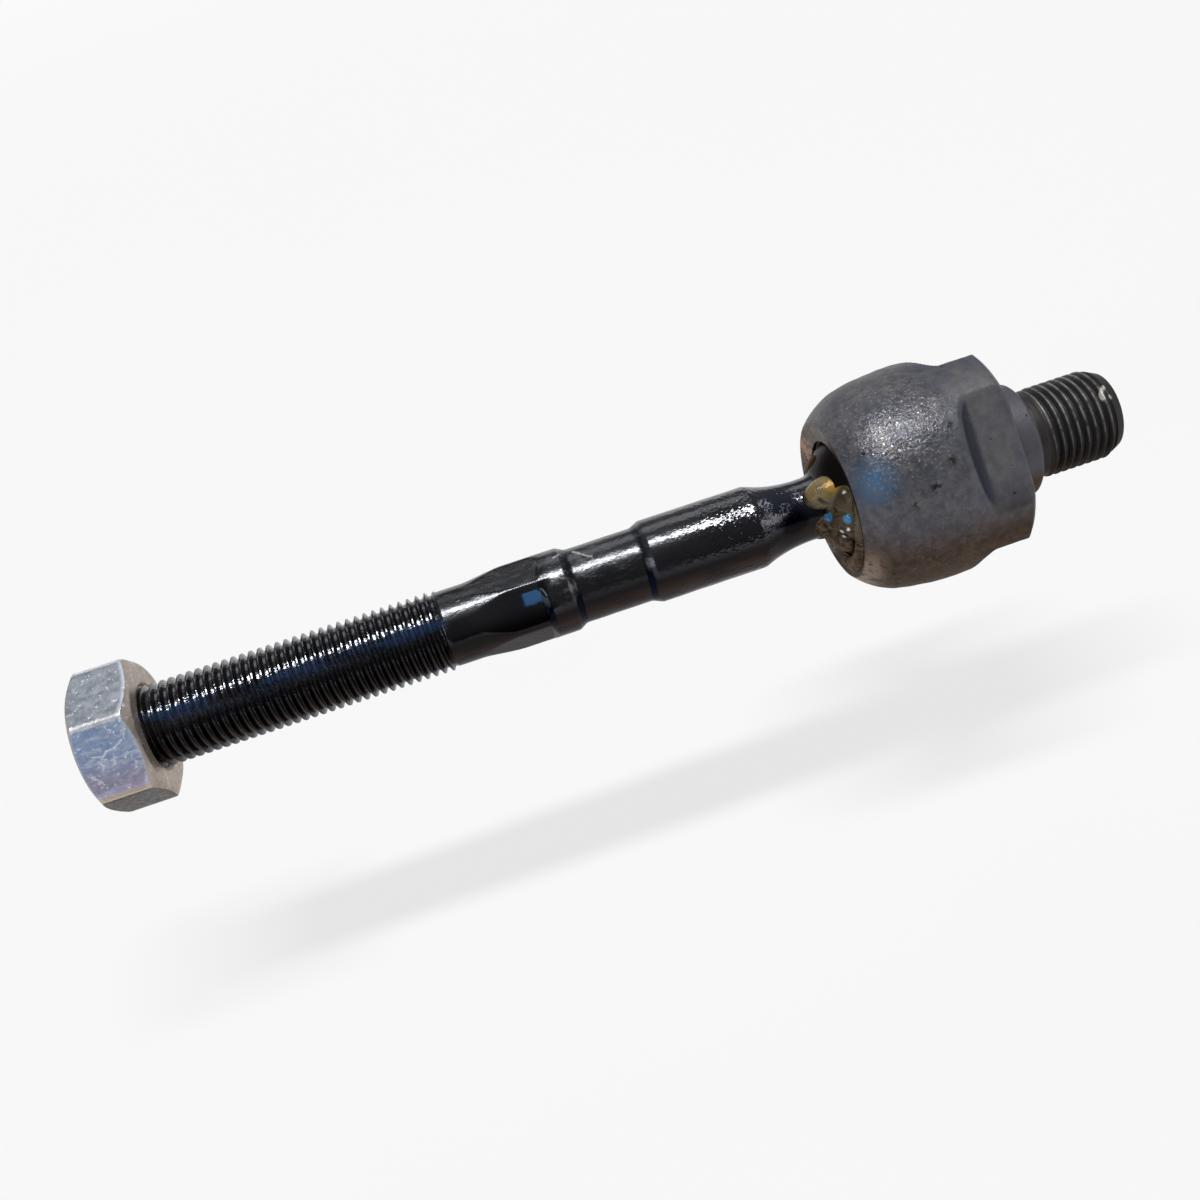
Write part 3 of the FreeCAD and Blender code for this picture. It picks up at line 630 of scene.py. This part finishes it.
def build_rod():
    """Threaded end, relief, hexagonal collar, waist, shank, neck and ball as one closed surface.

    The radius is the outline's, held at the collar within six flats: cut over the cosine off a
    flat's middle.
    """
    turn = turns(160)
    tip, relief, collar, waist, shank = 5.85, 6.5, 7.25, 6.475, 7.225
    end = outline([(ROD_END, 0), (ROD_END, tip)], turn, 0.9)
    thread_x, thread_r = helix(ROD_END, THREAD_END, turn, ROD_CREST)
    fade = np.clip((THREAD_END - thread_x) / 1.3, 0, 1)
    thread_r = relief + (thread_r - relief) * fade
    thread_r = np.minimum(thread_r, tip + np.maximum(thread_x - ROD_END, 0))
    body = outline([(THREAD_END, relief), (-98.4, relief, 0.8), (-92.4, collar, 0.8),
                    (-82.2, collar, 0.25), (-80.8, waist, 0.35), (-69.1, waist, 0.35),
                    (-67.4, shank, 0.25), (-48.7, shank, 0.5)]
                   + bow((-48.7, shank), (-40.0, NECK_R), 24, 1, 20)[1:]
                   + [(-37.6, 5.42, 0.9)]
                   + bow((-37.2, 5.72), (BALL_X, BALL_R), BALL_R, -1, 22)
                   + bow((BALL_X, BALL_R), (BALL_X + BALL_R, 0), BALL_R, -1, 16)[1:], turn, 0.45)
    x, r = body.real, body.imag
    sixth = np.pi / 3
    off_flat = (turn - math.radians(HEX_TURN) + sixth / 2) % sixth - sixth / 2
    flat = 6.5 + np.clip((x + 86.7) / 0.7, 0, 1) * 0.75 + np.maximum(x + 86.0, 0) * 3
    cut = flat / np.cos(off_flat)
    r = np.where((x < -82.5) & (x > -103), softer_least(r, cut, 0.035), r)
    rolled = np.clip((-41 - x) / 4, 0, 1) * np.clip((x + 84) / 3, 0, 1)
    r = r + (unevenness(x, turn, 8, 20, 4) * 0.02 - 0.02) * rolled
    piece = surface("black_rod", np.concatenate([end.real, thread_x, x]),
                    np.concatenate([end.imag, thread_r, r]), turn, black, "rod")
    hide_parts("tie_rod")


# Lock nut

def build_nut():
    """Hexagon with both faces chamfered and a bore threaded to run on the rod, as one closed ring.

    The rim is the smaller of the corners' radius and the flat over the cosine off its middle.
    """
    turn = turns(132, corner=0.0)
    sixth = np.pi / 3
    off_flat = (turn + sixth / 2) % sixth - sixth / 2
    corner_r, face, mouth = 12.62, 10.45, 7.6
    start, stop, crest = -163.1, -153.8, 7.1
    rim = softer_least(NUT_FLAT / np.cos(off_flat), corner_r, 0.15)
    run = (rim - face) * 0.577
    outside = outline([(NUT_OUTER, mouth), (NUT_OUTER, face, 0.12), (NUT_OUTER + run, rim, 0.1),
                       (NUT_INNER - run, rim, 0.1), (NUT_INNER, face, 0.12), (NUT_INNER, mouth, 0.1),
                       (stop, crest)], turn, 0.7)
    thread_x, thread_r = helix(start, stop, turn, crest)
    bore = np.minimum(thread_r + 0.02, crest)[::-1]
    close = outline([(start, crest), (NUT_OUTER, mouth)], turn, 0.7)
    x = np.concatenate([outside.real, thread_x[::-1], close.real])
    r = np.concatenate([outside.imag, bore, close.imag])
    piece = surface("zinc_nut", x, r, turn, zinc, "nut", crease=44.0)
    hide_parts("lock_nut")


# Grease

def build_grease():
    """Grease on the ball and neck, and grease pushed up on the lower part of the lip's face.

    The first lies on the larger of ball and neck as a sum of drops, and is at least as high as a
    dome.  The second is a ring whose section is an ellipse, largest low in front.
    """
    turn = turns(180)
    x = np.linspace(-42.8, -31.5, 110)[:, None]
    ball = np.sqrt(np.maximum(BALL_R ** 2 - (x - BALL_X) ** 2, 0))
    base = np.maximum(ball, NECK_R)
    thick = (1.1 * lump(x, turn, -34.8, -60, 3.2, 34)
             + 1.5 * lump(x, turn, -36.6, -92, 3.6, 30) + 1.2 * lump(x, turn, -36.2, -135, 3.4, 40)
             + 0.9 * lump(x, turn, -36.0, 70, 2.6, 80)
             + 0.07 * unevenness(x, turn, 21, 6, 2.5) - 0.7)
    thick = thick - 3 * np.clip((np.abs(x + 37) - 4.9) / 1.0, 0, 1)
    dome = 5.1 + 0.32 * (x + 37.0) + 2.8 * lump(x, turn, -36.8, -29, 4.0, 28)
    r = np.maximum(np.maximum(base + thick, base - 0.5), dome)
    x = np.broadcast_to(x, r.shape)
    under = np.broadcast_to(base - 0.6, r.shape)
    surface("neck_grease", np.concatenate([x, x[::-1], x[:1]]),
            np.concatenate([r, under[::-1], r[:1]]), turn, grease, "rod", crease=80)

    share = np.linspace(0, 2 * np.pi, 40)[:, None]
    fill = lump(0, turn, 0, -108, 1, 66)
    wave = unevenness(3 * np.cos(share), turn, 33, 8, 2) * 0.14 * fill
    ring_x = -33.5 - 0.6 * fill - (0.2 + 0.75 * fill) * np.cos(share) + wave
    ring_r = 12.3 - 0.7 * fill + (0.2 + 1.3 * fill) * np.sin(share) + wave
    surface("mouth_grease", ring_x, ring_r, turn, grease, "socket", crease=80)


build_housing()
build_rod()
build_nut()
build_grease()

for name, finish in (("bearing_seat", plastic), ("pressure_seat", plastic),
                     ("preload_spring", sheet_steel), ("grease_ring", grease),
                     ("grease_cap", grease)):
    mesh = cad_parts[name].data
    mesh.materials.clear()
    mesh.materials.append(finish)


# Floor, light and camera

def build_floor():
    """Pale level floor, low enough for the rod to swing all the way down; white far away."""
    f = Finish("pale_floor")
    tone = f.grain(0.01, 2, 0.5)
    colour = f.mix(tone, (0.94, 0.94, 0.94), (0.96, 0.96, 0.96))
    lit = f.coat(f.grain(0.05, 2), 0.02, {"Base Color": colour, "Roughness": 0.9,
                                          "Specular IOR Level": 0.1})
    direct = f.node("ShaderNodeLightPath", out="Is Camera Ray")
    far = 1 - f.near((-75, 0, -14), 250.0, 900.0)
    glow = f.node("ShaderNodeEmission", {}, {"Color": BACKGROUND})
    glowing = direct * (0.76 + 0.24 * far) + f.mirrored_rays() * (0.5 + 0.5 * far)
    material = f.close(f.node("ShaderNodeMixShader", {}, {0: glowing, 1: lit, 2: glow}))
    spots = [(a * FLOOR_HALF, b * FLOOR_HALF, -FLOOR_DROP * MM)
             for a, b in ((-1, -1), (1, -1), (1, 1), (-1, 1))]
    mesh = bpy.data.meshes.new("pale_floor")
    mesh.from_pydata(spots, [], [(0, 1, 2, 3)])
    mesh.materials.append(material)
    floor = bpy.data.objects.new("pale_floor", mesh)
    bpy.context.scene.collection.objects.link(floor)


def soft_lamp(name, spot, aim, size, power, colour=(1, 1, 1)):
    """An oblong soft lamp of a size, at spot and facing aim, all in millimetres."""
    lamp = bpy.data.lights.new(name, "AREA")
    lamp.shape, lamp.size, lamp.size_y = "RECTANGLE", size[0] * MM, size[1] * MM
    lamp.energy, lamp.color = power, colour
    holder = bpy.data.objects.new(name, lamp)
    bpy.context.scene.collection.objects.link(holder)
    holder.location = Vector(spot) * MM
    holder.rotation_mode = "QUATERNION"
    holder.rotation_quaternion = (Vector(aim) - Vector(spot)).to_track_quat("-Z", "Y")


def build_light():
    """A long strip lamp overhead, back and side panels, and a small cool lamp for the collar's flat."""
    soft_lamp("key_lamp", (-112, 70, 1600), (-112, 0, 0), (1150, 120), 19.5)
    soft_lamp("back_lamp", (-120, 1300, 1100), (-80, 0, 0), (1400, 600), 2.4)
    soft_lamp("left_lamp", (-1200, -900, 700), (-120, 0, 0), (600, 600), 2.2, (0.9, 0.95, 1.0))
    soft_lamp("right_lamp", (1100, -700, 700), (-40, 0, 0), (600, 600), 1.8, (1.0, 0.97, 0.94))
    soft_lamp("cool_lamp", (-53.5, -1327, 700), (-89, -5, 4), (60, 22), 0.0064,
              (0.12, 0.46, 1.0))


def build_sky():
    """A sky dimmer in front, which camera rays see white, and mirrors too where it nears the horizon."""
    world = bpy.data.worlds.new("studio")
    bpy.context.scene.world = world
    sky = Nodes(world)
    way = sky.node("ShaderNodeTexCoord", out="Generated")
    depth, rise = (sky.node("ShaderNodeSeparateXYZ", {}, {0: way}, out=k) for k in (1, 2))
    strength = sky.node("ShaderNodeMapRange", {}, {0: depth, 1: -0.7, 2: 0.7, 3: 0.075, 4: 0.16})
    low = sky.node("ShaderNodeMapRange", {}, {0: rise, 1: 0.02, 2: 0.12, 3: 1.0, 4: 0.0})
    seen = sky.mirrored_rays() * low + sky.node("ShaderNodeLightPath", out="Is Camera Ray")
    dim = sky.node("ShaderNodeBackground", {}, {"Color": (0.95, 0.97, 1.0, 1.0),
                                                "Strength": strength})
    white = sky.node("ShaderNodeBackground", {}, {"Color": BACKGROUND})
    blend = sky.node("ShaderNodeMixShader", {}, {0: seen, 1: dim, 2: white})
    sky.node("ShaderNodeOutputWorld", {}, {"Surface": blend})


def build_camera():
    """The photograph's camera: 44.7 degrees above the rod, rolled 18.5 degrees."""
    picture = 1200  # pixels, as focal and centre are
    focal, centre_x, centre_y = 1251.77, 620.3, 589.3
    middle, drop, distance = Vector((-73.75, 0, 0)), 2.88, 211.876
    right = Vector((0.9968, -0.05686, 0.05624))
    up = Vector((0.0, 0.70322, 0.71097))
    back = Vector((-0.07997, -0.70869, 0.70097)).normalized()
    spot = middle - drop * up + distance * back
    roll = math.radians(18.52)
    across = (math.cos(roll) * right - math.sin(roll) * up).normalized()
    lens = bpy.data.cameras.new("camera")
    lens.sensor_fit, lens.sensor_width = "HORIZONTAL", 36.0
    lens.lens = focal / picture * lens.sensor_width
    lens.shift_x = (picture / 2 - centre_x) / picture
    lens.shift_y = (centre_y - picture / 2) / picture
    lens.clip_start, lens.clip_end = 0.01, 20.0
    camera = bpy.data.objects.new("camera", lens)
    bpy.context.scene.collection.objects.link(camera)
    rotation = Matrix((across, back.cross(across), back)).transposed()
    camera.matrix_world = Matrix.Translation(spot * MM) @ rotation.to_4x4()
    bpy.context.scene.camera = camera


build_floor()
build_light()
build_sky()
build_camera()
bpy.context.scene.view_settings.view_transform = "Standard"
